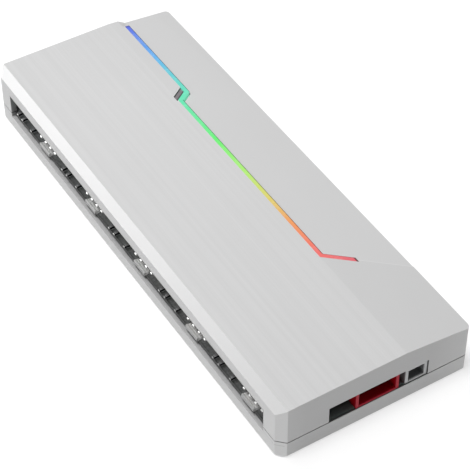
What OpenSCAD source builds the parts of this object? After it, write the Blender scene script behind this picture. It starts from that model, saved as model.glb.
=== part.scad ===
// Fan controller hub: a flat two-part case with a light bar in its top,
// rows of pin headers in a long side window and two shrouded headers in an end window.
// Units are millimetres. The case stands on its base: the origin is at the middle of
// the underside, +Z is up, +Y points to the far end and -X is the side of the headers.

/* [Case] */
// Width of the case, left to right
case_w = 52.1; // [43:0.1:70]
// Length of the case, near end to far end
case_l = 138.6; // [115:0.1:190]
// Height of the case at its flat top
case_h = 16.5; // [13.7:0.1:22]
// Height of the parting line, which is also the top of the circuit board
seam_z = 5.2; // [4.8:0.1:6.5]
// Upright cut on the two left corners
corner_cut = 2.1; // [1:0.1:3]
// Radius of the two right corners
corner_r = 1.2; // [0.5:0.1:3]
// Width of the bevel along the left top edge
top_bevel = 2.1; // [0.5:0.1:2.6]
// Small bevel round the underside
foot_bevel = 0.7; // [0.3:0.1:1.2]

/* [Walls] */
// Wall of the base
base_wall = 1.6; // [1.5:0.1:2]
// Floor of the base
floor_t = 1.5; // [1.2:0.1:2]
// Wall and roof of the cover
cover_wall = 1.6; // [1.4:0.1:2]
// Thickness of the lip that stands up from the base into the cover
lip_t = 0.7; // [0.5:0.05:0.8]
// Height of the lip above the parting line
lip_h = 1.2; // [0.6:0.1:2]
// Play between the lip and the cover
lip_play = 0.1; // [0.05:0.05:0.2]
// Height of the shadow groove at the parting line
groove_h = 0.25; // [0.1:0.05:0.4]
// Depth of the shadow groove
groove_d = 0.35; // [0.1:0.05:0.5]
// Thickness of the ribs in the base and on the screw posts
rib_t = 1.2; // [0.8:0.1:1.6]

/* [Top surface] */
// Width of the sloped part of the top, from the crease to the right side
slope_w = 18.1; // [16:0.1:22]
// Fall of the top from the crease to the right side
right_drop = 1.85; // [1.3:0.05:2.4]
// Depth of the sunk right panel at the near end of its outline
sink_near = 0.2; // [0.1:0.05:0.4]
// Depth of the sunk right panel at the far end
sink_far = 1.15; // [0.6:0.05:1.4]
// Width of the ramp down to the sunk panel, past the far end of the light bar
ramp_w = 2; // [1.5:0.1:2.6]
// Height of the foot of that ramp above the sunk panel
ramp_foot_h = 0.05; // [0.02:0.01:0.1]

/* [Light bar] */
// Width of the strip that shows
bar_w = 1.25; // [0.8:0.05:2]
// Play between the strip and the right side of its slot
slot_play = 0.15; // [0.05:0.05:0.3]
// Gap between the strip and the far end of the case
bar_far_gap = 2.9; // [2.5:0.1:8]
// Distance from the far end of the case to the jog
jog_from_far = 34.7; // [25:0.1:45]
// Sideways shift of the strip at the jog
jog_w = 3.25; // [2.4:0.05:5]
// Distance from the near end of the case to the bend
bend_from_near = 35.75; // [30:0.05:45]
// Sideways reach of the tail after the bend
tail_w = 6.8; // [4:0.1:9]
// Angle of the jog and the tail, from square across the case
slant = 36.9; // [30:0.1:42]
// Gap between the blade of the light guide and the lamps under it
lamp_gap = 0.6; // [0.3:0.1:0.9]
// Reach of the flange that holds the light guide under the roof
flange_w = 0.8; // [0.4:0.1:1.2]
// Thickness of that flange
flange_t = 0.8; // [0.5:0.1:1.2]

/* [Status window] */
// Height of the dark insert, measured along the case
insert_l = 1.95; // [1.2:0.05:3]
// Reach of the insert past the left side of the light bar
insert_over = 0.45; // [0.1:0.05:1]
// Thickness of the insert
insert_t = 0.8; // [0.5:0.05:0.9]
// How far the insert lies below the top surface
insert_sunk = 0.35; // [0.1:0.05:0.4]

/* [Header rows] */
// Distance between neighbouring pins
pin_pitch = 2.54; // [2.5:0.01:2.6]
// Gap between the lamp header and the fan header of a pair
block_gap = 2.84; // [2.5:0.02:3.2]
// Gap between one pair of headers and the next
pair_gap = 1.74; // [1.2:0.02:2.2]
// Least length of wall between the side window and each end of the case
window_end_least = 5.2; // [5:0.1:6.5]
// Width of a square pin
pin_w = 0.64; // [0.5:0.02:0.66]
// Play of a pin in its plastic block, on each side
pin_play = 0.02; // [0.01:0.01:0.05]
// Length of the bevelled pin tip
pin_tip = 0.2; // [0.1:0.05:0.3]
// How far the pin tails stand out below the board
tail_out = 0.9; // [0.5:0.1:1.2]
// Gap between the far end of the side window and the first pin
window_far_gap = 2.9; // [2.4:0.1:3.2]
// Gap between the last pin and the near end of the side window
window_near_gap = 2; // [1.6:0.1:2.4]
// Height of the side window above the parting line
window_h = 6; // [5.4:0.1:6.6]

/* [Fan headers] */
// Height of the fan pins above the board
fan_pin_h = 3.37; // [3:0.01:3.6]
// Distance from the left side of the case to the tips of the fan pins
fan_tip_in = 0.8; // [0.4:0.05:1.5]
// Free length of the fan pins
fan_pin_l = 6.6; // [5.5:0.1:7.5]
// Depth of the plastic block, along the pins
fan_block_d = 3.1; // [2.4:0.1:3.5]
// Height of the plastic block
fan_block_h = 5.7; // [5:0.1:6.5]
// Width of the friction tab
tab_w = 5.2; // [4:0.1:6]
// Thickness of the friction tab
tab_t = 0.8; // [0.6:0.05:1]
// Distance from the left side of the case to the end of the tab
tab_in = 0.5; // [0.3:0.05:1.5]
// Distance by which the tab reaches past the first pin
tab_past_pin = 0.55; // [0.4:0.05:1]
// Height of the small ridge at the end of the tab
ridge_h = 0.25; // [0.1:0.05:0.5]
// Length of the ridge
ridge_l = 0.8; // [0.5:0.1:1.2]

/* [Lamp headers] */
// Height of the lamp pins above the board
argb_pin_h = 1.37; // [1.27:0.01:1.6]
// Distance from the left side of the case to the tips of the lamp pins
argb_tip_in = 0.45; // [0.3:0.05:1.5]
// Free length of the lamp pins
argb_pin_l = 6; // [5:0.1:7]
// Height and depth of the plastic block
argb_block = 2.5; // [2.3:0.05:2.7]

/* [End window] */
// Distance from the right side of the case to the end window
end_right_gap = 11.4; // [10:0.1:12]
// Width of the end window
end_w = 27.45; // [24:0.05:28]
// Height of the end window above the parting line
end_h = 5; // [4.9:0.1:5.6]
// Lowering of the base's rim under the end window
end_rim_drop = 0.1; // [0.05:0.05:0.4]
// Thickness of the base's rim there, in front of the board
end_rim_t = 0.4; // [0.3:0.05:0.8]

/* [Shrouded headers] */
// Walls of the shrouded headers
shroud_wall = 0.8; // [0.6:0.05:0.9]
// Distance between the pins of the shrouded headers
shroud_pitch = 2; // [1.8:0.05:2.1]
// Width of a pin in the shrouded headers
shroud_pin_w = 0.5; // [0.4:0.05:0.6]
// Gap between the shrouded headers and the top of the end window
shroud_gap = 0.2; // [0.1:0.05:0.4]
// Depth of the shrouded headers, mouth to back
shroud_d = 8; // [7:0.1:9]
// Thickness of the back of the shrouded headers
shroud_back = 2.2; // [1.5:0.1:3]
// Gap between the two shrouded headers
shroud_between = 1.85; // [1:0.05:3]
// Room beside the outer pins of the power header
power_side = 1.15; // [1:0.05:1.6]
// Distance from the top of the power header, which is open, down to its pins
power_pin_drop = 1.5; // [1.2:0.05:2.2]
// Floor of the power header
power_floor = 0.45; // [0.4:0.05:1]
// Number of pins in the power header
power_pins_n = 5; // [2:1:5]
// Distance from the near end of the case to the mouth of the power header
power_in = 0.25; // [0.1:0.05:0.8]
// Distance from the mouth of the power header to its pin tips
power_tip_in = 1.2; // [0.3:0.1:2]
// Gap between the small header and the right edge of the end window
sync_gap = 0.15; // [0.1:0.05:1]
// Room beside the outer pins of the small header
sync_side = 1.25; // [0.9:0.05:1.4]
// Distance from the top of the small header down to its pins
sync_pin_drop = 2.2; // [1.6:0.05:2.6]
// Floor of the small header
sync_floor = 0.5; // [0.4:0.05:1]
// Number of pins in the small header
sync_pins_n = 2; // [1:1:3]
// Distance from the near end of the case to the mouth of the small header
sync_in = 0.35; // [0.2:0.05:0.8]
// Distance from the mouth of the small header to its pin tips
sync_tip_in = 1.6; // [0.8:0.1:2.5]

/* [Circuit board] */
// Thickness of the board, which lies on the sill of the side window
board_t = 1.2; // [1:0.1:1.6]
// Play between the board and the walls of the base
board_play = 0.3; // [0.2:0.05:0.5]
// Width of the sill that stays free in front of the board
sill_free = 1.1; // [0.7:0.05:1.3]
// Play round the corners of a pin tail in its hole
tail_play = 0.05; // [0.02:0.01:0.15]
// Gap between the ends of the ribs under the board and the ends of the base
rib_end_gap = 16; // [12:1:30]

/* [Lamps, chip and capacitor] */
// Distance between the lamps along the case
lamp_pitch = 9.7; // [7:0.1:14]
// Width of a lamp
lamp_w = 2.8; // [2:0.1:3.5]
// Length of a lamp
lamp_l = 3.5; // [2.5:0.1:5]
// Height of a lamp
lamp_h = 1.4; // [0.8:0.1:2]
// Length of the chip's body past its outer leads, at each end
chip_end = 0.5; // [0.2:0.1:1]
// Width of the chip's body
chip_w = 7.5; // [4:0.1:9]
// Height of the chip's body
chip_h = 2.3; // [1.4:0.1:2.6]
// Number of leads on each side of the chip
chip_leads = 8; // [4:1:8]
// Distance between the leads of the chip
lead_pitch = 1.27; // [0.8:0.01:1.3]
// Width of a chip lead
lead_w = 0.4; // [0.3:0.05:0.5]
// Reach of a chip lead beside the body
lead_reach = 1.4; // [1:0.1:2]
// Diameter of the capacitor
cap_d = 6.3; // [4:0.1:8]
// Gap between the capacitor and the roof
cap_gap = 2; // [0.5:0.1:3]
// Height of the capacitor's foot
cap_foot_h = 1.1; // [0.8:0.1:1.6]

/* [Screws] */
// Distance of the screws from the sides of the case
screw_side_gap = 4.8; // [4.6:0.1:6]
// Distance of the screws from the ends of the case
screw_end_gap = 4.6; // [4.4:0.1:4.7]
// Radius of the screw thread
screw_r = 1.2; // [1:0.05:1.3]
// Length of the thread
screw_l = 8; // [6:0.1:8]
// Radius of the screw head
head_r = 2.2; // [2:0.05:2.3]
// Height of the screw head
head_h = 1.5; // [1:0.1:1.6]
// How far the screw heads lie above the underside
head_sunk = 0.3; // [0.1:0.05:0.4]
// Play round a screw
screw_play = 0.2; // [0.1:0.05:0.25]
// Play between the thread and its pilot hole
pilot_play = 0.02; // [0.01:0.01:0.05]
// Wall of the bosses in the base
boss_wall = 0.9; // [0.8:0.1:1]
// Wall of the posts in the cover
post_wall = 1.3; // [1:0.1:1.4]

/* [Hidden] */
$fn = 48;
// Overlap that makes a cut pass cleanly through a face
eps = 0.1;
// A length that reaches past every side of the case
far_out = case_l + case_w;
// Radius that a shrunk corner keeps
least_r = 0.3;

left_x = -case_w/2;
right_x = case_w/2;
far_y = case_l/2;
near_y = -case_l/2;

crease_x = right_x - slope_w;
slope_a = atan(right_drop/slope_w);
function slope_drop(x) = (x - crease_x)*tan(slope_a);

// Centre line of the light bar, from the far end on to the right side of the case
bar_x1 = crease_x + bar_w/2;
bar_x2 = bar_x1 + jog_w;
bar_far_y = far_y - bar_far_gap;
jog_y = far_y - jog_from_far;
bend_y = near_y + bend_from_near;
tail_x = bar_x1 + tail_w;
path_end_x = right_x + cover_wall;
BAR_PATH = [
    [bar_x2, bar_far_y],
    [bar_x2, jog_y],
    [bar_x1, jog_y - jog_w*tan(slant)],
    [bar_x1, bend_y],
    [path_end_x, bend_y - (path_end_x - bar_x1)*tan(slant)]
];
sink_start_y = bend_y - (right_x - bar_x1)*tan(slant);
sink_a = atan((sink_far - sink_near)/(far_y - sink_start_y));

// Header rows: as many pairs as the length holds, in a window as long as their row.
// A header has four places, and the third place of a lamp header is empty.
FAN_PLACES = [0, 1, 2, 3];
ARGB_PLACES = [0, 1, 3];
header_w = len(FAN_PLACES)*pin_pitch;
pins_w = header_w - pin_pitch;
fan_offset = header_w + block_gap;
group_pitch = fan_offset + header_w + pair_gap;
pair_l = fan_offset + pins_w + window_far_gap + window_near_gap;
groups = max(1, floor((case_l - 2*window_end_least - pair_l)/group_pitch) + 1);
window_l = (groups - 1)*group_pitch + pair_l;
window_top = seam_z + window_h;
function argb_y(k) = window_l/2 - window_far_gap - (k - 1)*group_pitch;
function fan_y(k) = argb_y(k) - fan_offset;

board_bottom = seam_z - board_t;
tail_bottom = board_bottom - tail_out;
fan_pin_z = seam_z + fan_pin_h;
fan_tip_x = left_x + fan_tip_in;
fan_block_x = fan_tip_x + fan_pin_l;
fan_tail_x = fan_block_x + fan_block_d + pin_w;
argb_pin_z = seam_z + argb_pin_h;
argb_tip_x = left_x + argb_tip_in;
argb_block_x = argb_tip_x + argb_pin_l;
argb_tail_x = argb_block_x + argb_block + pin_w;

// End window, with the small header at its right edge and the power header beside it
function shroud_w(n, side) = (n - 1)*shroud_pitch + 2*(side + shroud_wall);
function pin_x(x, n, i) = x + (i - (n - 1)/2)*shroud_pitch;
end_right = right_x - end_right_gap;
end_left = end_right - end_w;
end_top = seam_z + end_h;
power_mouth = near_y + power_in;
sync_mouth = near_y + sync_in;
power_w = shroud_w(power_pins_n, power_side);
sync_w = shroud_w(sync_pins_n, sync_side);
sync_x = end_right - sync_gap - sync_w/2;
power_x = sync_x - sync_w/2 - shroud_between - power_w/2;
shroud_h = end_h - shroud_gap;
power_pin_h = shroud_h - power_pin_drop;
sync_pin_h = shroud_h - sync_pin_drop;
shroud_tail = shroud_d + shroud_pin_w;

SCREWS = [for (sx = [-1, 1], sy = [-1, 1])
    [sx*(case_w/2 - screw_side_gap), sy*(case_l/2 - screw_end_gap)]];
boss_r = head_r + screw_play + boss_wall;
post_r = screw_r + post_wall;
head_seat = head_sunk + head_h;
screw_tip_z = head_seat + screw_l;

// Lamps follow the two long runs of the light bar
LAMPS = [
    for (y = [bend_y + lamp_l : lamp_pitch : jog_y - jog_w - lamp_l]) [bar_x1, y],
    for (y = [jog_y + lamp_l : lamp_pitch : bar_far_y - lamp_l]) [bar_x2, y]
];
chip_x = (argb_tail_x + bar_x1)/2;
chip_l = (chip_leads - 1)*lead_pitch + lead_w + 2*chip_end;
cap_y = near_y + shroud_d + 2*cap_d;
cap_h = case_h - cover_wall - seam_z - cap_gap;

PAIRS = [for (k = [1 : groups]) k];

// Unit direction of leg i of a path, its left normal, and the mitre at point i
function leg(p, i) = (p[i + 1] - p[i])/norm(p[i + 1] - p[i]);
function normal(d) = [-d[1], d[0]];
function mitre(p, i) =
    i == 0 ? normal(leg(p, 0)) :
    i == len(p) - 1 ? normal(leg(p, i - 1)) :
    let(a = normal(leg(p, i - 1)), b = normal(leg(p, i))) (a + b)/(1 + a*b);
// The path moved sideways by d, towards +X on the long runs
function beside(p, d) = [for (i = [0 : len(p) - 1]) p[i] + d*mitre(p, i)];
function backwards(p) = [for (i = [len(p) - 1 : -1 : 0]) p[i]];

// Plan of the case, shrunk by inset on every side
module plan(inset = 0) {
    x0 = left_x + inset;
    x1 = right_x - inset;
    y1 = far_y - inset;
    cut = corner_cut - inset*(2 - sqrt(2));
    r = max(corner_r - inset, least_r);
    polygon([
        [x0 + cut, -y1], [x1 - r, -y1], [x1 - r, y1], [x0 + cut, y1],
        [x0, y1 - cut], [x0, -y1 + cut]
    ]);
    translate([x1 - 2*r, -y1 + r]) square([2*r, 2*(y1 - r)]);
    for (s = [-1, 1]) translate([x1 - r, s*(y1 - r)]) circle(r);
}

// Ring along the edge of the case, between two insets
module rim(outer, inner) {
    difference() {
        plan(outer);
        plan(inner);
    }
}

// Profile of the cover across the case, shrunk by inset under its skin
module cover_profile(inset = 0) {
    bottom = inset > 0 ? 0 : seam_z;
    shift = inset*tan(45/2);
    polygon([
        [left_x + inset, bottom],
        [left_x + inset, case_h - top_bevel - shift],
        [left_x + top_bevel + shift, case_h - inset],
        [crease_x - inset*tan(slope_a/2), case_h - inset],
        [right_x - inset, case_h - right_drop + inset*tan(slope_a) - inset/cos(slope_a)],
        [right_x - inset, bottom]
    ]);
}

// All space above the sloped part of the top, lowered by the given depth
module above_slope(lower = 0) {
    translate([crease_x, 0, case_h - lower])
        rotate([0, slope_a, 0])
            translate([-far_out, -far_out, 0]) cube([2*far_out, 2*far_out, case_h]);
}

// All space above the floor of the sunk panel, which falls to the right and to the far end
module above_sunk_floor(lower = 0) {
    translate([crease_x, sink_start_y, case_h - sink_near - lower])
        rotate([-sink_a, slope_a, 0])
            translate([-far_out, -far_out, 0]) cube([2*far_out, 2*far_out, case_h]);
}

// Outline of the sunk panel: right of the light bar, then right of its centre line.
// Its left side moves further left by grow.
module sunk_outline(grow = 0) {
    corner = [far_out, far_out];
    edge = beside(BAR_PATH, bar_w/2 + slot_play - grow);
    middle = beside(BAR_PATH, -grow);
    intersection() {
        polygon(concat([[edge[0][0], far_out]], edge, [[far_out, edge[4][1]], corner]));
        translate([-far_out, -far_out]) square([far_out + tail_x - grow, 2*far_out]);
    }
    intersection() {
        polygon([middle[3], middle[4], [far_out, middle[4][1]], corner, [middle[3][0], far_out]]);
        translate([tail_x - grow - eps, -far_out]) square([far_out, 2*far_out]);
    }
}

// Ramp from the raised part down to the sunk panel, past the far end of the light bar
module far_ramp() {
    foot_x = bar_x2 + bar_w/2 + slot_play;
    rise = sink_far + slope_drop(crease_x + ramp_w) - ramp_foot_h;
    translate([foot_x, bar_far_y, case_h - sink_far - slope_drop(foot_x) + ramp_foot_h])
        rotate([0, atan(rise/ramp_w), 0])
            translate([-2*ramp_w, 0, 0]) cube([2*ramp_w, far_out, case_h]);
}

// Solid form of the cover, shrunk by inset under its skin
module cover_form(inset = 0, sunk = true) {
    difference() {
        intersection() {
            translate([0, far_out, 0]) rotate([90, 0, 0]) linear_extrude(2*far_out) cover_profile(inset);
            linear_extrude(2*case_h) plan(inset);
        }
        if (sunk) intersection() {
            linear_extrude(2*case_h) sunk_outline(inset);
            above_sunk_floor(inset);
        }
    }
}

// Strip along the path of the light bar, cut off square to the case at its tail and wider
// on its left and right side by the given lengths
module bar_strip(left = 0, right = 0) {
    intersection() {
        polygon(concat(beside(BAR_PATH, bar_w/2 + right), backwards(beside(BAR_PATH, -bar_w/2 - left))));
        translate([tail_x - far_out, -far_out]) square([far_out, 2*far_out]);
    }
}

// Outline of the status window, between the crease and the jog of the light bar
module insert_outline() {
    edge = beside(BAR_PATH, -bar_w/2);
    corner = edge[2] + insert_over*leg(edge, 1);
    up = [0, insert_l];
    polygon([edge[1], edge[2], corner, corner + up, edge[1] + up]);
}

module side_window_cut() {
    translate([left_x - eps, -window_l/2, 0]) cube([cover_wall + 2*eps, window_l, window_top]);
}

module end_window_cut() {
    translate([end_left, near_y - eps, 0]) cube([end_w, cover_wall + 2*eps, end_top]);
}

// Post for a screw, hanging from the roof, with a rib to the end wall above the lip
module screw_post(at) {
    translate([at[0], at[1], seam_z]) cylinder(r = post_r, h = case_h);
    rib_bottom = seam_z + lip_h + 2*lip_play;
    translate([at[0] - rib_t/2, at[1] > 0 ? at[1] : near_y, rib_bottom])
        cube([rib_t, screw_end_gap, case_h]);
}

// Upper shell: bevelled and creased roof, both windows, slot of the light bar, screw posts
module top_cover() {
    color("gainsboro") difference() {
        union() {
            difference() {
                cover_form();
                cover_form(cover_wall);
                linear_extrude(seam_z + lip_h + lip_play) plan(base_wall - lip_t - lip_play);
            }
            difference() {
                intersection() {
                    cover_form(cover_wall/2);
                    for (at = SCREWS) screw_post(at);
                }
                linear_extrude(seam_z + lip_h + lip_play)
                    rim(base_wall - lip_t - lip_play, base_wall + lip_play);
            }
        }
        linear_extrude(seam_z + groove_h) rim(-eps, groove_d);
        side_window_cut();
        end_window_cut();
        far_ramp();
        linear_extrude(2*case_h) bar_strip(right = slot_play);
        intersection() {
            linear_extrude(2*case_h) insert_outline();
            above_slope(insert_sunk + insert_t);
        }
        for (at = SCREWS) translate([at[0], at[1], 0])
            cylinder(r = screw_r + pilot_play, h = screw_tip_z + screw_play);
    }
}

module foot_profile(w) {
    polygon([
        [-w/2 + foot_bevel, 0], [w/2 - foot_bevel, 0], [w/2, foot_bevel],
        [w/2, case_h], [-w/2, case_h], [-w/2, foot_bevel]
    ]);
}

// Block with a small bevel round its underside
module foot_form() {
    intersection() {
        translate([0, case_l, 0]) rotate([90, 0, 0]) linear_extrude(2*case_l) foot_profile(case_w);
        translate([-case_w, 0, 0]) rotate([90, 0, 90]) linear_extrude(2*case_w) foot_profile(case_l);
    }
}

// Base: tray with a lip, the sill of the side window, screw bosses and ribs under the board
module bottom_shell() {
    color("gainsboro") difference() {
        union() {
            intersection() {
                linear_extrude(floor_t) plan();
                foot_form();
            }
            intersection() {
                linear_extrude(seam_z) rim(0, base_wall);
                foot_form();
            }
            linear_extrude(seam_z + lip_h) rim(base_wall - lip_t, base_wall);
            intersection() {
                linear_extrude(board_bottom) plan(base_wall/2);
                for (at = SCREWS) translate([at[0], at[1], 0]) cylinder(r = boss_r, h = case_h);
            }
            for (x = [crease_x - jog_w, right_x - 2*screw_side_gap])
                translate([x, near_y + rib_end_gap, floor_t/2])
                    cube([rib_t, case_l - 2*rib_end_gap, board_bottom - floor_t/2]);
        }
        translate([left_x - eps, -window_l/2, board_bottom]) cube([base_wall + 2*eps, window_l, case_h]);
        translate([end_left, near_y - eps, seam_z - end_rim_drop])
            cube([end_w, base_wall + 2*eps, case_h]);
        translate([end_left, near_y + end_rim_t, board_bottom]) cube([end_w, base_wall, case_h]);
        for (at = SCREWS) translate([at[0], at[1], -eps]) {
            cylinder(r = head_r + screw_play, h = head_seat + eps);
            cylinder(r = screw_r + screw_play, h = case_h);
        }
    }
}

// Light guide: the strip that shows is the top edge of a blade that reaches down to the lamps.
// A flange along the blade lies against the underside of the roof.
module light_bar() {
    color("aquamarine") {
        intersection() {
            cover_form(0, false);
            translate([0, 0, seam_z + lamp_h + lamp_gap]) linear_extrude(case_h) bar_strip();
        }
        intersection() {
            linear_extrude(case_h) bar_strip(flange_w, flange_w);
            difference() {
                cover_form(cover_wall);
                translate([0, 0, -flange_t]) cover_form(cover_wall);
            }
        }
    }
}

// Dark insert in its pocket beside the jog of the light bar
module status_window() {
    color("dimgray") difference() {
        intersection() {
            linear_extrude(2*case_h) insert_outline();
            above_slope(insert_sunk + insert_t);
        }
        above_slope(insert_sunk);
    }
}

// Hole for the tail of a square pin, which it clears at the corners
module tail_hole(x, y, w) {
    translate([x, y, 0]) cylinder(r = norm([w, w])/2 + tail_play, h = case_h);
}

// Board: fills the base, reaches out over the sill and under the end window, and carries
// every header
module circuit_board() {
    color("darkslategray") translate([0, 0, board_bottom]) difference() {
        linear_extrude(board_t) {
            plan(base_wall + board_play);
            translate([left_x + sill_free, -window_l/2 + board_play])
                square([case_w/2, window_l - 2*board_play]);
            translate([end_left + board_play, near_y + end_rim_t + board_play])
                square([end_w - 2*board_play, case_w/2]);
        }
        translate([0, 0, -eps]) {
            for (at = SCREWS) translate([at[0], at[1], 0]) cylinder(r = screw_r + screw_play, h = case_h);
            for (k = PAIRS) {
                for (i = FAN_PLACES) tail_hole(fan_tail_x, fan_y(k) - i*pin_pitch, pin_w);
                for (i = ARGB_PLACES) tail_hole(argb_tail_x, argb_y(k) - i*pin_pitch, pin_w);
            }
            for (i = [0 : power_pins_n - 1])
                tail_hole(pin_x(power_x, power_pins_n, i), power_mouth + shroud_tail, shroud_pin_w);
            for (i = [0 : sync_pins_n - 1])
                tail_hole(pin_x(sync_x, sync_pins_n, i), sync_mouth + shroud_tail, shroud_pin_w);
        }
    }
}

// Square pin that runs along +X from its tip, then turns down; its axis starts at the origin
module bent_pin(w, reach, drop) {
    h = w/2;
    rotate([90, 0, 0]) translate([0, 0, -h]) linear_extrude(w) polygon([
        [0, -h/2], [0, h/2], [pin_tip, h], [reach + h, h], [reach + h, -drop],
        [reach - h, -drop], [reach - h, -h], [pin_tip, -h]
    ]);
}

// Square hole for a pin, through a block of the given depth along X
module pin_slot(w, depth) {
    s = w + 2*pin_play;
    translate([-eps, -s/2, -s/2]) cube([depth + 2*eps, s, s]);
}

// Right-angle header with a friction tab that lies on the board and reaches over the sill
module fan_header(k) {
    tab_x = left_x + tab_in;
    color("whitesmoke") difference() {
        union() {
            translate([fan_block_x, fan_y(k) + pin_pitch/2 - header_w, seam_z])
                cube([fan_block_d, header_w, fan_block_h]);
            translate([tab_x, fan_y(k) + tab_past_pin, seam_z]) rotate([90, 0, 0])
                linear_extrude(tab_w) polygon([
                    [0, 0], [0, tab_t], [ridge_l/4, tab_t + ridge_h], [ridge_l/2, tab_t + ridge_h],
                    [ridge_l, tab_t], [fan_block_x - tab_x + eps, tab_t], [fan_block_x - tab_x + eps, 0]
                ]);
        }
        for (i = FAN_PLACES) translate([fan_block_x, fan_y(k) - i*pin_pitch, fan_pin_z])
            pin_slot(pin_w, fan_block_d);
    }
}

module fan_pins(k) {
    color("gold") for (i = FAN_PLACES) translate([fan_tip_x, fan_y(k) - i*pin_pitch, fan_pin_z])
        bent_pin(pin_w, fan_tail_x - fan_tip_x, fan_pin_z - tail_bottom);
}

// Right-angle header with four places, the third of them without a pin
module argb_header(k) {
    color("black") difference() {
        translate([argb_block_x, argb_y(k) + pin_pitch/2 - header_w, seam_z])
            cube([argb_block, header_w, argb_block]);
        for (i = ARGB_PLACES) translate([argb_block_x, argb_y(k) - i*pin_pitch, argb_pin_z])
            pin_slot(pin_w, argb_block);
    }
}

module argb_pins(k) {
    color("gold") for (i = ARGB_PLACES) translate([argb_tip_x, argb_y(k) - i*pin_pitch, argb_pin_z])
        bent_pin(pin_w, argb_tail_x - argb_tip_x, argb_pin_z - tail_bottom);
}

// Open-mouthed box that faces the near end, with holes for its pins in the back. The space
// for the plug reaches from floor_h to top.
module shroud(x, mouth, w, n, floor_h, top, pin_h) {
    translate([x, mouth, seam_z]) difference() {
        translate([-w/2, 0, 0]) cube([w, shroud_d, shroud_h]);
        translate([-w/2 + shroud_wall, -eps, floor_h])
            cube([w - 2*shroud_wall, shroud_d - shroud_back + eps, top - floor_h]);
        for (i = [0 : n - 1]) translate([pin_x(0, n, i), shroud_d - shroud_back, pin_h])
            rotate([0, 0, 90]) pin_slot(shroud_pin_w, shroud_back);
    }
}

module shroud_pins(x, mouth, n, tip_in, pin_h) {
    for (i = [0 : n - 1]) translate([pin_x(x, n, i), mouth + tip_in, seam_z + pin_h])
        rotate([0, 0, 90]) bent_pin(shroud_pin_w, shroud_tail - tip_in, seam_z + pin_h - tail_bottom);
}

// Header with a floor and side walls, open on top
module power_header() {
    color("firebrick")
        shroud(power_x, power_mouth, power_w, power_pins_n, power_floor, shroud_h + eps, power_pin_h);
}

module power_pins() {
    color("silver") shroud_pins(power_x, power_mouth, power_pins_n, power_tip_in, power_pin_h);
}

// Header with a roof
module sync_header() {
    color("lightgray")
        shroud(sync_x, sync_mouth, sync_w, sync_pins_n, sync_floor, shroud_h - shroud_wall, sync_pin_h);
}

module sync_pins() {
    color("silver") shroud_pins(sync_x, sync_mouth, sync_pins_n, sync_tip_in, sync_pin_h);
}

// Lamps on the board, in line under the light guide
module bar_leds() {
    color("ivory") for (at = LAMPS) translate([at[0] - lamp_w/2, at[1] - lamp_l/2, seam_z])
        cube([lamp_w, lamp_l, lamp_h]);
}

// Chip with a row of bent leads down each long side
module controller_chip() {
    lead_h = chip_h/2;
    color("black") translate([chip_x, 0, seam_z]) {
        translate([-chip_w/2, -chip_l/2, lead_w/2]) cube([chip_w, chip_l, chip_h - lead_w/2]);
        for (s = [0, 180], i = [0 : chip_leads - 1]) rotate([0, 0, s])
            translate([chip_w/2 - eps, (i - (chip_leads - 1)/2)*lead_pitch + lead_w/2, 0]) rotate([90, 0, 0])
                linear_extrude(lead_w) polygon([
                    [0, lead_h - lead_w/2], [0, lead_h], [lead_reach/2, lead_h],
                    [lead_reach/2 + lead_w, lead_w/2], [lead_reach, lead_w/2], [lead_reach, 0],
                    [lead_reach/2, 0], [lead_reach/2 - lead_w/2, lead_h - lead_w/2]
                ]);
    }
}

// Can with a rolled groove, standing on a square foot with two cut corners
module power_capacitor() {
    r = cap_d/2;
    groove = r/10;
    color("silver") translate([power_x, cap_y, seam_z]) {
        linear_extrude(cap_foot_h) polygon([
            [-r, -r], [r, -r], [r, r/2], [r/2, r], [-r/2, r], [-r, r/2]
        ]);
        rotate_extrude() polygon([
            [0, cap_foot_h/2], [r - groove, cap_foot_h/2], [r - groove, cap_foot_h], [r, cap_foot_h + groove],
            [r, 2*cap_foot_h], [r - groove, 2*cap_foot_h + groove], [r, 2*cap_foot_h + 2*groove],
            [r, cap_h - groove], [r - groove, cap_h], [0, cap_h]
        ]);
    }
}

// Screws from below, with a cross recess
module case_screws() {
    slot = head_r/4;
    color("dimgray") for (at = SCREWS) translate([at[0], at[1], head_sunk]) difference() {
        union() {
            cylinder(r = head_r, h = head_h);
            cylinder(r = screw_r, h = head_h + screw_l);
        }
        for (a = [0, 90]) rotate([0, 0, a]) translate([-head_r/2, -slot/2, -eps])
            cube([head_r, slot, head_h/2 + eps]);
    }
}

top_cover();
bottom_shell();
light_bar();
status_window();
circuit_board();
for (k = PAIRS) {
    fan_header(k);
    fan_pins(k);
    argb_header(k);
    argb_pins(k);
}
power_header();
power_pins();
sync_header();
sync_pins();
bar_leds();
controller_chip();
power_capacitor();
case_screws();
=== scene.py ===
"""Looks of the fan controller hub: finishes, fine moulded detail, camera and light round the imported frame."""

import math

import bpy
from mathutils import Matrix, Vector


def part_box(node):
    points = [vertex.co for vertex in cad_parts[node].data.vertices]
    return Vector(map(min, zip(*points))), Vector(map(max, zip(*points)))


MM = 0.001
PAIRS = range(1, 6)

# Camera, solved from the photograph: place in metres, direction and up, lens in mm on a 36 mm sensor
CAMERA_PLACE = (-0.16476, -0.27647, 0.325119)
CAMERA_FORWARD = (0.3677559, 0.5983970, -0.7118122)
CAMERA_UP = (0.3753319, 0.6048201, 0.7023665)
CAMERA_LENS = 138.589
CAMERA_SENSOR = 36.0

# Heights on the case: foot bevel, sill and upper edge of the side window, and parting line
FOOT = 0.7 * MM
SILL = 4.0 * MM
WINDOW_TOP = 11.2 * MM
SEAM = 5.2 * MM

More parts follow.
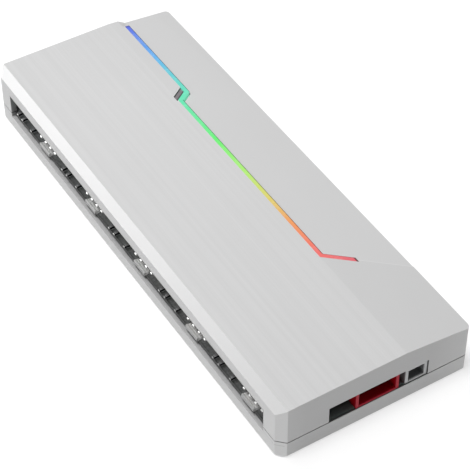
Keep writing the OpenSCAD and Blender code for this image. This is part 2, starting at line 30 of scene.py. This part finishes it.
# Heights between which shade is painted on the case: groove of the parting line, front of the sill, lip over
# the side window, and jambs of the end window and the side window
GROOVE = (SEAM - 0.01 * MM, SEAM + 0.25 * MM)
SILL_FRONT = (SILL - 0.04 * MM, SILL + 0.1 * MM)
LIP = (WINDOW_TOP - 0.05 * MM, WINDOW_TOP + 0.16 * MM)
END_JAMBS = (SEAM - 0.5 * MM, SEAM + 5.2 * MM)
SIDE_JAMBS = (SILL + 0.15 * MM, WINDOW_TOP)

# Stretch of the end wall that holds its window, half the length of the side window, and how far before the
# ends of the case its jambs end
END_WINDOW_MIDDLE = 1.0 * MM
END_WINDOW_HALF = 15.0 * MM
SIDE_WINDOW_HALF = 62.56 * MM
END_MARGIN = 4.0 * MM

# Depths from the outer faces: a face itself, where the painted shade of a window starts, and where it ends
# at the sill, at the end window and at the side window
FACE = 0.1 * MM
SKIN = 0.12 * MM
SILL_DEPTH = 1.7 * MM
END_JAMB_DEPTH = 2.0 * MM
SIDE_JAMB_DEPTH = 2.5 * MM

# Depths under the highest point: of the flat panel, and of all the top surfaces. Reach of the bevel at the
# near left corner, which is painted lighter, from the corner of the case's box
PANEL_DEPTH = 0.2 * MM
TOP_DEPTH = 2.6 * MM
CORNER = 2.15 * MM

# Ramps of painted light and shade: two places on an axis of the case, or distances from its middle, and
# the tone at each
END_WALL_LEFT = (-24 * MM, -19 * MM, 1.08, 1.0)
END_WALL_RIGHT = (15 * MM, 26 * MM, 0.915, 1.09)
SIDE_WALL_ENDS = (59 * MM, 66 * MM, 1.005, 1.065)
FOOT_BEVEL = (0, FOOT, 1.45, 1.0)

# Grey of the case, its share of blue, and what grain, clouds, brushed streaks and the painted highlight line
# add to it
CASE_GREY = 0.52
BLUE_SHARE = 1.003
GRAIN_TONE = 0.005
CLOUD_TONE = 0.004
STREAK_TONE = 0.015
PAINTED_HIGHLIGHT_TONE = 0.09

# Sizes of grains and marks, in mm along X, Y and Z
CASE_GRAIN = (0.14, 0.14, 0.14)
CASE_CLOUDS = (17, 26, 17)
BROAD_STREAKS = (1.0, 260, 60)
FINE_STREAKS = (0.3, 110, 60)
BAR_HAZE = (2.2, 2.2, 2.2)
MOULD_GRAIN = (0.12, 0.12, 0.12)
MOULD_FLOW = (3.0, 5.0, 2.0)
BOARD_WEAVE = (0.35, 0.35, 0.35)
BOARD_TRACKS = (1.6, 1.6, 1.6)
TURNED_RINGS = (4, 4, 0.05)
SCREW_SPECKS = (0.2, 0.2, 0.2)
PIN_MARKS = {"X": (1.6, 0.05, 0.05), "Y": (0.05, 1.6, 0.05)}

# A noise is used from 0.5 less one of these to 0.5 plus it, so the smaller one gives more contrast
SOFT = 0.2
CRISP = 0.15

# Light bar: its width, its sideways shift at the jog, the fall of jog and tail for each mm across the case,
# its jog from the case's far end, its bend from its own near end, and the fall of its tail from the bend
BAR = 1.25 * MM
JOG = 3.25 * MM
FALL = math.tan(math.radians(36.9))
JOG_FROM_END = 35.01 * MM
BEND_FROM_TIP = 7.2 * MM
TAIL_DROP = 5.42 * MM

# Painted shade on the rim of the light bar: its width on the right side and at the near tip, and the two
# distances from the far tip between which it fades in
PAINTED_RIM_WIDTH = 0.15 * MM
NEAR_TIP = 0.4 * MM
FAR_TIP = (0.9 * MM, 0.2 * MM)

# Dark insert: its reach past the crease, its length along the case, and its borders of painted shade
# beside the light bar and away from it
INSERT_PAST_CREASE = 0.36 * MM
INSERT_LENGTH = 1.95 * MM
NEAR_BORDER = 0.62 * MM
FAR_BORDER = 0.24 * MM

# Colours of the light bar at places along it, in mm from its far end
BAR_COLOURS = [
    (0, (0.12, 0.16, 0.80)),
    (15, (0.14, 0.46, 0.90)),
    (32, (0.14, 0.80, 0.52)),
    (52, (0.15, 0.92, 0.20)),
    (66, (0.45, 0.88, 0.17)),
    (76, (0.74, 0.68, 0.15)),
    (86, (0.90, 0.36, 0.12)),
    (98, (0.92, 0.16, 0.14)),
    (110, (0.80, 0.13, 0.16)),
]

# Depth of a pin's bare end face, and widths of the rounded edges of shells and headers
END_FACE = 0.05 * MM
SHELL_EDGE = 0.09 * MM
HEADER_EDGE = 0.04 * MM

# Floor: half its width in metres, and its level, a hair below the case
FLOOR_HALF = 3.0
FLOOR_LEVEL = -0.05 * MM

# Round soft lights that aim at the middle of the case: name, place and size in metres, power in watts
LIGHT_AIM = (0, 0.01, 0.01)
LIGHTS = [
    ("key", (-0.66, -0.1, 2.5), 1.0, 41.0),
    ("fill", (-0.3, 0.3, 2.4), 1.0, 16.0),
    ("side", (-1.2, -0.1, 0.84), 0.5, 1.15),
    ("top", (-0.05, 0.075, 0.25), 0.12, 0.215),
]


class Places:
    """Places on the case and its light bar, worked out from the frame."""

    def __init__(self):
        self.low, self.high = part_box("top_cover")
        bar_low, bar_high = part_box("light_bar")
        self.insert_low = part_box("status_window")[0]
        self.crease_x = self.insert_low.x + INSERT_PAST_CREASE
        self.far_y = bar_high.y
        self.jog_y = self.high.y - JOG_FROM_END
        self.bend_y = bar_low.y + BEND_FROM_TIP
        self.tail = Vector((bar_high.x, self.bend_y - TAIL_DROP))


class Shader:
    """A material with one Principled surface, and short calls that add nodes to it."""

    def __init__(self, name, colour, roughness, **sockets):
        self.material = bpy.data.materials.new(name)
        self.material.use_nodes = True
        self.tree = self.material.node_tree
        self.surface = self.tree.nodes["Principled BSDF"]
        self.surface.inputs["Base Color"].default_value = (*colour, 1)
        self.surface.inputs["Roughness"].default_value = roughness
        for socket, value in sockets.items():
            self.surface.inputs[socket.replace("_", " ")].default_value = value
        self.place = self.node("ShaderNodeTexCoord").outputs["Object"]

    def node(self, kind, **settings):
        made = self.tree.nodes.new(kind)
        for key, value in settings.items():
            setattr(made, key, value)
        return made

    def feed(self, socket, value):
        """Links a socket to another one, or sets it to a value."""
        if isinstance(value, bpy.types.NodeSocket):
            self.tree.links.new(value, socket)
        else:
            socket.default_value = value

    def math(self, operation, a, b=0.0):
        made = self.node("ShaderNodeMath", operation=operation)
        self.feed(made.inputs[0], a)
        self.feed(made.inputs[1], b)
        return made.outputs[0]

    def total(self, first, *others):
        for value in others:
            first = self.math("ADD", first, value)
        return first

    def product(self, first, *others):
        """Product of several values. Of several masks, it is 1 where all of them hold."""
        for value in others:
            first = self.math("MULTIPLY", first, value)
        return first

    def average(self, a, b):
        return self.total(self.product(a, 0.5), self.product(b, 0.5))

    def distance(self, value, middle=0.0):
        return self.math("ABSOLUTE", self.math("SUBTRACT", value, middle))

    def axis(self, name, vector=None):
        """One coordinate of a vector, which is the place on the object unless another one is given."""
        split = self.node("ShaderNodeSeparateXYZ")
        self.feed(split.inputs[0], vector or self.place)
        return split.outputs[name]

    def stretched(self, sizes):
        """Object coordinates divided by the sizes of a grain, in mm along X, Y and Z."""
        mapped = self.node("ShaderNodeMapping")
        self.feed(mapped.inputs["Vector"], self.place)
        mapped.inputs["Scale"].default_value = [1 / (size * MM) for size in sizes]
        return mapped.outputs[0]

    def noise(self, sizes, detail=2.0, roughness=0.55):
        made = self.node("ShaderNodeTexNoise")
        self.feed(made.inputs["Vector"], self.stretched(sizes))
        made.inputs["Scale"].default_value = 1.0
        made.inputs["Detail"].default_value = detail
        made.inputs["Roughness"].default_value = roughness
        return made.outputs["Fac"]

    def span(self, value, low, high, start=0.0, end=1.0):
        """value mapped from low..high to start..end, and held at the ends."""
        made = self.node("ShaderNodeMapRange")
        for socket, given in zip(made.inputs[:5], (value, low, high, start, end)):
            self.feed(socket, given)
        return made.outputs[0]

    def spread(self, noise, start=0.0, end=1.0, reach=SOFT):
        """The bulk of a noise mapped to start..end."""
        return self.span(noise, 0.5 - reach, 0.5 + reach, start, end)

    def after(self, value, edge, blur=0.04 * MM):
        """1 where value lies past the edge, and 0 before it."""
        return self.span(value, edge - blur, edge + blur)

    def before(self, value, edge, blur=0.04 * MM):
        return self.span(value, edge - blur, edge + blur, 1.0, 0.0)

    def between(self, value, low, high):
        return self.product(self.after(value, low), self.before(value, high))

    def toned(self, mask, tone):
        """A factor that is 1 off the mask and the tone on it."""
        return self.span(mask, 0, 1, 1.0, tone)

    def mix(self, factor, a, b):
        made = self.node("ShaderNodeMix", data_type="RGBA")
        self.feed(made.inputs["Factor"], factor)
        for socket, colour in zip(made.inputs[6:8], (a, b)):
            self.feed(socket, (*colour, 1) if isinstance(colour, tuple) else colour)
        return made.outputs[2]

    def grey(self, shade, blue_share):
        """A grey of the given shade, with its blue part multiplied."""
        made = self.node("ShaderNodeCombineColor")
        for socket, part in zip(made.inputs[:3], (shade, shade, self.product(shade, blue_share))):
            self.feed(socket, part)
        return made.outputs[0]

    def colour(self, value):
        """Feeds the base colour, and keeps it for a later call to go on with."""
        self.base = value
        self.feed(self.surface.inputs["Base Color"], value)

    def roughness(self, value):
        self.feed(self.surface.inputs["Roughness"], value)

    def bump(self, *layers):
        """Layers of (height from 0 to 1, depth in mm)."""
        below = None
        for height, depth in layers:
            made = self.node("ShaderNodeBump")
            made.inputs["Distance"].default_value = depth * MM
            self.feed(made.inputs["Height"], height)
            if below is not None:
                self.feed(made.inputs["Normal"], below)
            below = made.outputs[0]
        self.feed(self.surface.inputs["Normal"], below)


class CaseShader(Shader):
    """White moulded plastic of both shells: fine spark grain all over, brushed streaks on the flat top
    panel, a painted highlight line on the step beyond the light bar, painted light and shade on the top and
    walls, and painted shade in the recesses at seam and windows."""

    def __init__(self, places):
        super().__init__("case_white", (0.5, 0.5, 0.5), 0.4, Specular_IOR_Level=0.45, Coat_Weight=0.08,
                         Coat_Roughness=0.3)
        self.places = places
        self.x, self.y, self.z = self.axis("X"), self.axis("Y"), self.axis("Z")
        low, high, tail = places.low, places.high, places.tail
        self.on_side = self.before(self.x, low.x + FACE)
        self.on_end = self.before(self.y, low.y + FACE)
        self.on_top = self.product(self.after(self.z, high.z - TOP_DEPTH), self.after(self.y, low.y + FACE))
        sideways = self.math("SUBTRACT", self.x, tail.x)
        self.off_step = self.total(self.product(sideways, FALL), self.math("SUBTRACT", self.y, tail.y))
        self.add_colour()

    def add_colour(self):
        """Joins the tones, and feeds colour, roughness and relief."""
        on_panel = self.product(self.before(self.x, self.places.crease_x),
                                self.after(self.z, self.places.high.z - PANEL_DEPTH))
        fine = self.noise(FINE_STREAKS)
        streaks = self.average(self.noise(BROAD_STREAKS, roughness=0.5), fine)
        brushed = self.product(self.spread(streaks, -1.0, 1.0, CRISP), on_panel)
        grain = self.noise(CASE_GRAIN, roughness=0.6)
        clouds = self.noise(CASE_CLOUDS, detail=3.0, roughness=0.5)
        plain = self.total(self.product(brushed, STREAK_TONE), self.spread(clouds, -CLOUD_TONE, CLOUD_TONE),
                           self.spread(grain, CASE_GREY - GRAIN_TONE, CASE_GREY + GRAIN_TONE),
                           self.product(self.painted_highlight_line(), PAINTED_HIGHLIGHT_TONE))
        shade = self.product(plain, self.painted_top_light(), self.painted_wall_light(), self.painted_recess_shade())
        self.colour(self.grey(shade, BLUE_SHARE))
        self.roughness(self.total(self.spread(grain, 0.36, 0.42), self.product(brushed, 0.03)))
        self.bump((grain, 0.004), (self.product(fine, on_panel), 0.006))

    def painted_highlight_line(self):
        """A painted highlight line on the step, from just beyond the tail of the light bar."""
        core, edge, gap = 0.06 * MM, 0.25 * MM, 0.3 * MM
        line = self.span(self.distance(self.off_step), core, edge, 1.0, 0.0)
        return self.product(line, self.after(self.x, self.places.tail.x + gap), self.on_top)

    def painted_top_light(self):
        """Painted light and shade on the top: it lightens a little up to its crease and stays so, but is
        painted darker from there to the step.
        """
        crease_x, rise = self.places.crease_x, 6 * MM
        lighter = self.product(self.span(self.x, crease_x - rise, crease_x, 0.0, 0.014), self.on_top)
        slope = self.product(self.after(self.x, crease_x), self.before(self.off_step, 0.0), self.on_top)
        return self.total(lighter, self.toned(slope, 0.972))

    def painted_wall_light(self):
        """Painted light and shade on the walls: end wall and side wall lighten towards their ends, and foot
        and corner bevel are painted lighter.
        """
        low = self.places.low
        end = self.product(self.span(self.x, *END_WALL_RIGHT), self.span(self.x, *END_WALL_LEFT))
        side = self.span(self.distance(self.y), *SIDE_WALL_ENDS)
        corner = self.before(self.total(self.x, self.y), low.x + low.y + CORNER)
        return self.product(self.toned(self.on_end, end), self.toned(self.on_side, side),
                            self.span(self.z, *FOOT_BEVEL), self.toned(corner, 1.19))

    def painted_recess_shade(self):
        """Painted shade in the groove of the parting line, at the edges of the side window, and on the jambs
        of both windows.
        """
        low, high = self.places.low, self.places.high
        groove = self.between(self.z, *GROOVE)
        sill = self.product(self.between(self.z, *SILL_FRONT), self.before(self.x, low.x + SILL_DEPTH))
        lip = self.product(self.between(self.z, *LIP), self.on_side,
                           self.before(self.distance(self.y), SIDE_WINDOW_HALF))
        end_jambs = self.product(self.between(self.z, *END_JAMBS),
                                 self.between(self.y, low.y + SKIN, low.y + END_JAMB_DEPTH),
                                 self.before(self.distance(self.x, END_WINDOW_MIDDLE), END_WINDOW_HALF))
        side_jambs = self.product(self.between(self.z, *SIDE_JAMBS),
                                  self.between(self.x, low.x + SKIN, low.x + SIDE_JAMB_DEPTH),
                                  self.before(self.distance(self.y), high.y - END_MARGIN))
        dark = [(groove, 0.25), (sill, 0.7), (lip, 0.35), (end_jambs, 0.15), (side_jambs, 0.45)]
        return self.product(*(self.toned(mask, tone) for mask, tone in dark))


def bar_colour(s, x, y, places):
    """Colours by the distance from the far end, to which the tail adds its way sideways, weighted."""
    tail_x, fade, weight = places.crease_x + 1.2 * MM, 2 * MM, 1.3
    sideways = s.math("MAXIMUM", s.math("SUBTRACT", x, tail_x), 0.0)
    on_tail = s.span(y, places.bend_y, places.bend_y + fade, weight, 0.0)
    along = s.total(s.math("SUBTRACT", places.far_y, y), s.product(sideways, on_tail))
    end = BAR_COLOURS[-1][0]
    ramp = s.node("ShaderNodeValToRGB")
    s.feed(ramp.inputs[0], s.math("DIVIDE", along, end * MM))
    stops = ramp.color_ramp.elements
    while len(stops) < len(BAR_COLOURS):
        stops.new(0.5)
    for stop, (distance, colour) in zip(stops, BAR_COLOURS):
        stop.position = distance / end
        stop.color = (*colour, 1)
    return ramp.outputs[0]


def painted_rim_shade(s, x, y, places):
    """1 on the rim of the bar that gets painted shade, which follows its right side, but not the slant of the
    jog, and its near tip, and up to a half at its far tip."""
    jog = s.span(y, places.jog_y - JOG * FALL, places.jog_y, 0.0, JOG)
    reach = s.math("DIVIDE", s.math("MAXIMUM", s.math("SUBTRACT", places.bend_y, y), 0.0), FALL)
    inward = s.math("SUBTRACT", s.total(jog, reach, places.crease_x + BAR), x)
    off_slant = s.span(s.distance(jog, JOG / 2), 0.46 * JOG, 0.5 * JOG)
    right = s.product(s.before(inward, PAINTED_RIM_WIDTH, 0.05 * MM), off_slant)
    near = s.after(x, places.tail.x - NEAR_TIP, 0.1 * MM)
    far = s.span(y, places.far_y - FAR_TIP[0], places.far_y - FAR_TIP[1], 0.0, 0.5)
    return s.math("MAXIMUM", s.math("MAXIMUM", right, near), far)


def bar_finish(places):
    """Lit light guide, a little milky, with painted shade on its rim."""
    s = Shader("light_guide", (0.5, 0.5, 0.5), 0.25, Coat_Weight=0.3, Coat_Roughness=0.15, IOR=1.49)
    x, y = s.axis("X"), s.axis("Y")
    white, dark = (0.9, 0.9, 0.9), (0.02, 0.02, 0.02)
    haze = s.noise(BAR_HAZE)
    milky = s.mix(s.spread(haze, 0.0, 0.06, CRISP), bar_colour(s, x, y, places), white)
    # Painted shade: the rim darkens both the colour and the glow
    lit = s.mix(painted_rim_shade(s, x, y, places), milky, s.mix(0.87, milky, dark))
    s.colour(s.mix(0.65, lit, dark))
    s.feed(s.surface.inputs["Emission Color"], lit)
    s.surface.inputs["Emission Strength"].default_value = 0.56
    s.roughness(s.spread(haze, 0.2, 0.3))
    return s


def scaled(colour, factor):
    return tuple(min(1.0, part * factor) for part in colour)


def moulded_finish(name, colour, roughness, **sockets):
    """Plain moulded plastic with a fine grain and faint flow marks."""
    s = Shader(name, colour, roughness, **sockets)
    grain = s.noise(MOULD_GRAIN, roughness=0.6)
    marks = s.average(grain, s.noise(MOULD_FLOW))
    s.colour(s.mix(s.spread(marks, reach=CRISP), scaled(colour, 0.94), scaled(colour, 1.06)))
    s.roughness(s.spread(grain, roughness - 0.05, roughness + 0.05))
    s.bump((grain, 0.003))
    return s


def header_finish(name, colour, painted_inner_colour, axis, mouth, depth, painted_black_from=None, **sockets):
    """Moulded header with painted light and shade: its colour changes behind its mouth, and may turn to painted
    black further in.
    """
    s = moulded_finish(name, colour, 0.45, **sockets)
    along = s.axis(axis)
    shade = s.mix(s.span(along, mouth + 0.1 * MM, mouth + depth), s.base, painted_inner_colour)
    if painted_black_from:
        fade = 0.6 * MM
        in_painted_black = s.span(along, mouth + painted_black_from, mouth + painted_black_from + fade)
        shade = s.mix(in_painted_black, shade, (0.004, 0.002, 0.002))
    s.colour(shade)
    return s


def window_finish(corner):
    """Dark insert, with painted shade along its two slanted sides."""
    s = moulded_finish("window_dark", (0.195, 0.175, 0.19), 0.3, Coat_Weight=0.3)
    fallen = s.product(s.math("SUBTRACT", s.axis("X"), corner.x), FALL)
    across = s.math("SUBTRACT", s.math("SUBTRACT", s.axis("Y"), corner.y), fallen)
    blur = 0.12 * MM
    painted_border_shade = s.math("MAXIMUM", s.before(across, NEAR_BORDER, blur),
                    s.after(across, INSERT_LENGTH - FAR_BORDER, blur))
    s.colour(s.mix(painted_border_shade, s.base, (0.06, 0.064, 0.062)))
    return s


def pin_finish(name, axis, tip, shaft, bright=0.5 * MM, painted_glint_grey=0.93, metallic=0.35):
    """Square pins, drawn along their length: bare metal end face, a painted highlight on the tip, and a duller
    shaft.
    """
    s = Shader(name, shaft, 0.3)
    along = s.axis(axis)
    past_face = s.after(along, tip + END_FACE, 0.02 * MM)
    past_painted_glint = s.after(along, tip + bright, 0.1 * MM)
    s.feed(s.surface.inputs["Metallic"], s.toned(past_face, metallic))
    drawn = s.noise(PIN_MARKS[axis])
    worn = s.mix(s.spread(drawn, reach=CRISP), scaled(shaft, 0.85), scaled(shaft, 1.15))
    # Painted highlight: tip and end face in one plain grey over the given length
    s.colour(s.mix(past_painted_glint, (painted_glint_grey, painted_glint_grey, 0.99 * painted_glint_grey), worn))
    s.roughness(s.spread(drawn, 0.24, 0.36))
    s.bump((drawn, 0.002))
    return s


def lamp_pin_finish(tip):
    """Lamp pins with painted light: near-black sides under a top face painted grey, which starts behind the
    tip.
    """
    s = pin_finish("pin_dark", "X", tip, (0.006, 0.006, 0.007), bright=0.08 * MM, painted_glint_grey=0.33, metallic=0.0)
    # Painted light: faces that look up, behind the tip, are painted grey; the sides stay near black
    upward = s.axis("Z", s.node("ShaderNodeTexCoord").outputs["Normal"])
    on_top = s.product(s.span(upward, 0.6, 0.9), s.after(s.axis("X"), tip + 0.3 * MM, 0.1 * MM))
    s.colour(s.mix(on_top, s.base, (0.3, 0.3, 0.305)))
    s.surface.inputs["Specular IOR Level"].default_value = 0.1
    return s


def board_tracks(s):
    """Faint tracks: the joints of a pattern of long bricks."""
    tracks = s.node("ShaderNodeTexBrick", offset=0.37)
    s.feed(tracks.inputs["Vector"], s.stretched(BOARD_TRACKS))
    sizes = {"Scale": 1.0, "Mortar Size": 0.12, "Mortar Smooth": 0.4, "Brick Width": 2.3, "Row Height": 0.8}
    for socket, value in sizes.items():
        tracks.inputs[socket].default_value = value
    return tracks.outputs["Fac"]


def board_finish(edge_x, end_y):
    """Solder mask over glass cloth, with faint tracks; painted light makes it light grey further in, and
    painted shade darkens it at the pins and behind the end window.
    """
    s = Shader("board", (0.1, 0.105, 0.104), 0.4, Coat_Weight=0.1, Coat_Roughness=0.3)
    weave, tracks = s.noise(BOARD_WEAVE, detail=1.5), board_tracks(s)
    inward = s.math("SUBTRACT", s.axis("Y"), end_y)
    # Painted light: light greys for the board further in, against the shade of the cover
    mask = s.mix(s.spread(weave, reach=CRISP), (0.36, 0.37, 0.37), (0.54, 0.55, 0.55))
    mask = s.mix(s.product(tracks, 0.5), mask, (0.6, 0.61, 0.605))
    # Painted shade behind the end window
    painted_shade_near_end = s.mix(s.span(inward, 1 * MM, 4 * MM), (0.24, 0.3, 0.295), (0.03, 0.035, 0.035))
    mask = s.mix(s.span(inward, 5 * MM, 12 * MM), painted_shade_near_end, mask)
    # Painted shade at the pins along the side window
    painted_shade_at_pins = s.span(s.axis("X"), edge_x, edge_x + 1.8 * MM, 0.93, 0.0)
    s.colour(s.mix(painted_shade_at_pins, mask, (0.012, 0.013, 0.013)))
    s.roughness(s.spread(weave, 0.36, 0.46))
    s.bump((tracks, 0.02), (weave, 0.003))
    return s


def can_finish():
    """Aluminium can with fine turned rings."""
    s = Shader("can_metal", (0.78, 0.79, 0.8), 0.3, Metallic=1.0)
    turned = s.noise(TURNED_RINGS)
    s.roughness(s.spread(turned, 0.24, 0.38))
    s.bump((turned, 0.002))
    return s


def screw_finish():
    """Blackened steel, worn in specks."""
    s = Shader("screw_dark", (0.035, 0.035, 0.04), 0.35, Metallic=0.9)
    speck = s.noise(SCREW_SPECKS)
    s.colour(s.mix(s.span(speck, 0.4, 0.7), (0.03, 0.03, 0.034), (0.08, 0.08, 0.09)))
    s.roughness(s.spread(speck, 0.28, 0.45))
    return s


def soften(piece, width):
    """Rounds the sharp edges of a CAD node by modifiers, which leave its mesh as it is."""
    flat = piece.modifiers.new("flat_faces", "DECIMATE")
    flat.decimate_type = "DISSOLVE"
    flat.angle_limit = math.radians(0.3)
    edge = piece.modifiers.new("moulded_edge", "BEVEL")
    edge.width = width
    edge.segments = 2
    edge.limit_method = "ANGLE"
    edge.angle_limit = math.radians(28)
    edge.harden_normals = True
    edge.use_clamp_overlap = True


def single_finishes(places):
    """Finishes of the nodes that come once."""
    case = CaseShader(places)
    # Painted shade: a deeper red behind the mouth of the power header and black further in, dark grey in the
    # sync header
    red_header = header_finish("nylon_red", (0.42, 0.02, 0.038), (0.45, 0.0, 0.007), "Y",
                               mouth=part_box("power_header")[0].y, depth=0.5 * MM, painted_black_from=2.3 * MM,
                               Specular_IOR_Level=0.12)
    grey_header = header_finish("nylon_grey", (0.52, 0.53, 0.535), (0.2, 0.205, 0.21), "Y",
                                mouth=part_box("sync_header")[0].y, depth=0.5 * MM)
    end_pins = pin_finish("pin_end", "Y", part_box("power_pins")[0].y, (0.6, 0.59, 0.56))
    return {
        "top_cover": case,
        "bottom_shell": case,
        "light_bar": bar_finish(places),
        "status_window": window_finish(places.insert_low),
        "circuit_board": board_finish(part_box("circuit_board")[0].x, places.low.y),
        "power_header": red_header,
        "sync_header": grey_header,
        "power_pins": end_pins,
        "sync_pins": end_pins,
        "bar_leds": moulded_finish("lamp", (0.85, 0.84, 0.78), 0.3),
        "controller_chip": moulded_finish("chip_black", (0.03, 0.03, 0.033), 0.55),
        "power_capacitor": can_finish(),
        "case_screws": screw_finish(),
    }


def row_finishes():
    """Finishes of the fan and lamp headers along the side window, and of their pins."""
    kinds = {
        # Painted light and shade: the fan headers are dark grey at their fronts and nearly white further in
        "fan_header": header_finish("nylon_light", (0.32, 0.32, 0.318), (0.95, 0.95, 0.94), "X",
                                    mouth=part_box("fan_header_1")[0].x, depth=0.9 * MM),
        "argb_header": moulded_finish("nylon_black", (0.025, 0.025, 0.028), 0.45),
        "fan_pins": pin_finish("pin_tinned", "X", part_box("fan_pins_1")[0].x, (0.4, 0.393, 0.375),
                               bright=0.25 * MM, painted_glint_grey=0.97, metallic=0.1),
        "argb_pins": lamp_pin_finish(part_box("argb_pins_1")[0].x),
    }
    return {f"{kind}_{k}": finish for kind, finish in kinds.items() for k in PAIRS}


def dress(frame):
    """Gives every CAD node its finish, and rounds the edges of shells and of all but the black headers."""
    nodes = frame["nodes"]
    finishes = {**single_finishes(Places()), **row_finishes()}
    for name, finish in finishes.items():
        slots = nodes[name].data.materials
        slots.clear()
        slots.append(finish.material)
    for name in ["top_cover", "bottom_shell"]:
        soften(nodes[name], SHELL_EDGE)
    for name in ["power_header", "sync_header"] + [f"fan_header_{k}" for k in PAIRS]:
        soften(nodes[name], HEADER_EDGE)


def add_camera():
    data = bpy.data.cameras.new("camera")
    data.lens, data.sensor_width = CAMERA_LENS, CAMERA_SENSOR
    data.clip_start, data.clip_end = 0.01, 20
    camera = bpy.data.objects.new("camera", data)
    bpy.context.scene.collection.objects.link(camera)
    forward, up = Vector(CAMERA_FORWARD).normalized(), Vector(CAMERA_UP).normalized()
    right = forward.cross(up).normalized()
    turn = Matrix((right, right.cross(forward), -forward)).transposed()
    camera.matrix_world = Matrix.Translation(CAMERA_PLACE) @ turn.to_4x4()
    bpy.context.scene.camera = camera


def add_floor():
    """A wide white floor that is a little lit from itself, as a light table is."""
    corners = [(x * FLOOR_HALF, y * FLOOR_HALF, FLOOR_LEVEL) for x, y in ((-1, -1), (1, -1), (1, 1), (-1, 1))]
    mesh = bpy.data.meshes.new("floor")
    mesh.from_pydata(corners, [], [(0, 1, 2, 3)])
    floor = bpy.data.objects.new("floor", mesh)
    bpy.context.scene.collection.objects.link(floor)
    s = Shader("floor_white", (0.42, 0.42, 0.42), 0.7, Specular_IOR_Level=0.1, Emission_Color=(1, 1, 1, 1),
               Emission_Strength=0.57)
    mesh.materials.append(s.material)


def add_light(name, place, size, power, aim=LIGHT_AIM):
    data = bpy.data.lights.new(name, "AREA")
    data.shape, data.size, data.energy = "DISK", size, power
    light = bpy.data.objects.new(name, data)
    bpy.context.scene.collection.objects.link(light)
    light.location = place
    light.rotation_mode = "QUATERNION"
    light.rotation_quaternion = (Vector(aim) - Vector(place)).to_track_quat("-Z", "Y")
    return light


def add_stage():
    """Floor, even sky, soft lights, and a low one that only glints on the far left edge."""
    add_floor()
    world = bpy.data.worlds.new("studio")
    world.use_nodes = True
    sky = world.node_tree.nodes["Background"]
    sky.inputs["Color"].default_value = (1, 1, 1, 1)
    sky.inputs["Strength"].default_value = 0.125
    bpy.context.scene.world = world
    for light in LIGHTS:
        add_light(*light)
    glint = add_light("edge", (-0.35, 0.41, 0.16), 0.3, 1.7, aim=(-0.025, 0.055, 0.015))
    glint.visible_diffuse = False
    bpy.context.scene.view_settings.view_transform = "Standard"


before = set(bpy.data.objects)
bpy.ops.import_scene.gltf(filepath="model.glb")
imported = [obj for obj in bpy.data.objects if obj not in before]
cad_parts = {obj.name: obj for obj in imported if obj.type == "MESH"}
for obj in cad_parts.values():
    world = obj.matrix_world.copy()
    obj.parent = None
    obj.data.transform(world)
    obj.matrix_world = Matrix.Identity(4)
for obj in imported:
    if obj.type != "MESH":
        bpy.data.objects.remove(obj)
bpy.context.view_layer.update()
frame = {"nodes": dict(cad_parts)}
dress(frame)
add_stage()
add_camera()
